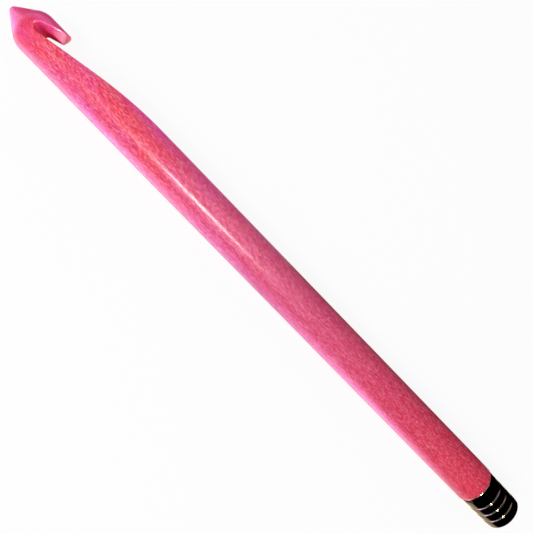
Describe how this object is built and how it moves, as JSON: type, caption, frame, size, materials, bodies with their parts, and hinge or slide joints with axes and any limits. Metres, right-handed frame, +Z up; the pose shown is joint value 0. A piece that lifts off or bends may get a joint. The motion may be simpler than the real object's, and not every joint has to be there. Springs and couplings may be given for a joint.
{
  "type": "crochet hook",
  "caption": "Slim wooden crochet hook with a pointed head, cut throat and lip, flat-planed neck, round handle and a grooved dark metal cap on its tail.",
  "frame": {"origin": "on the hook's axis, in the middle of the plain round handle, which is where a hand holds it", "axes": "+X from the nose to the tail, +Y towards the open side of the throat, +Z up, as the hook lies in the picture"},
  "size_m": [0.1475, 0.009, 0.009],
  "materials": {
    "dyed_wood": "pink dyed wood, sanded and lacquered to a satin gloss",
    "plated_metal": "brass with a polished black nickel plate",
    "glue": "cured clear amber glue"
  },
  "bodies": {
    "root": {"wood_hook": "dyed_wood", "end_cap": "plated_metal", "glue_film": "glue"}
  },
  "joints": []
}
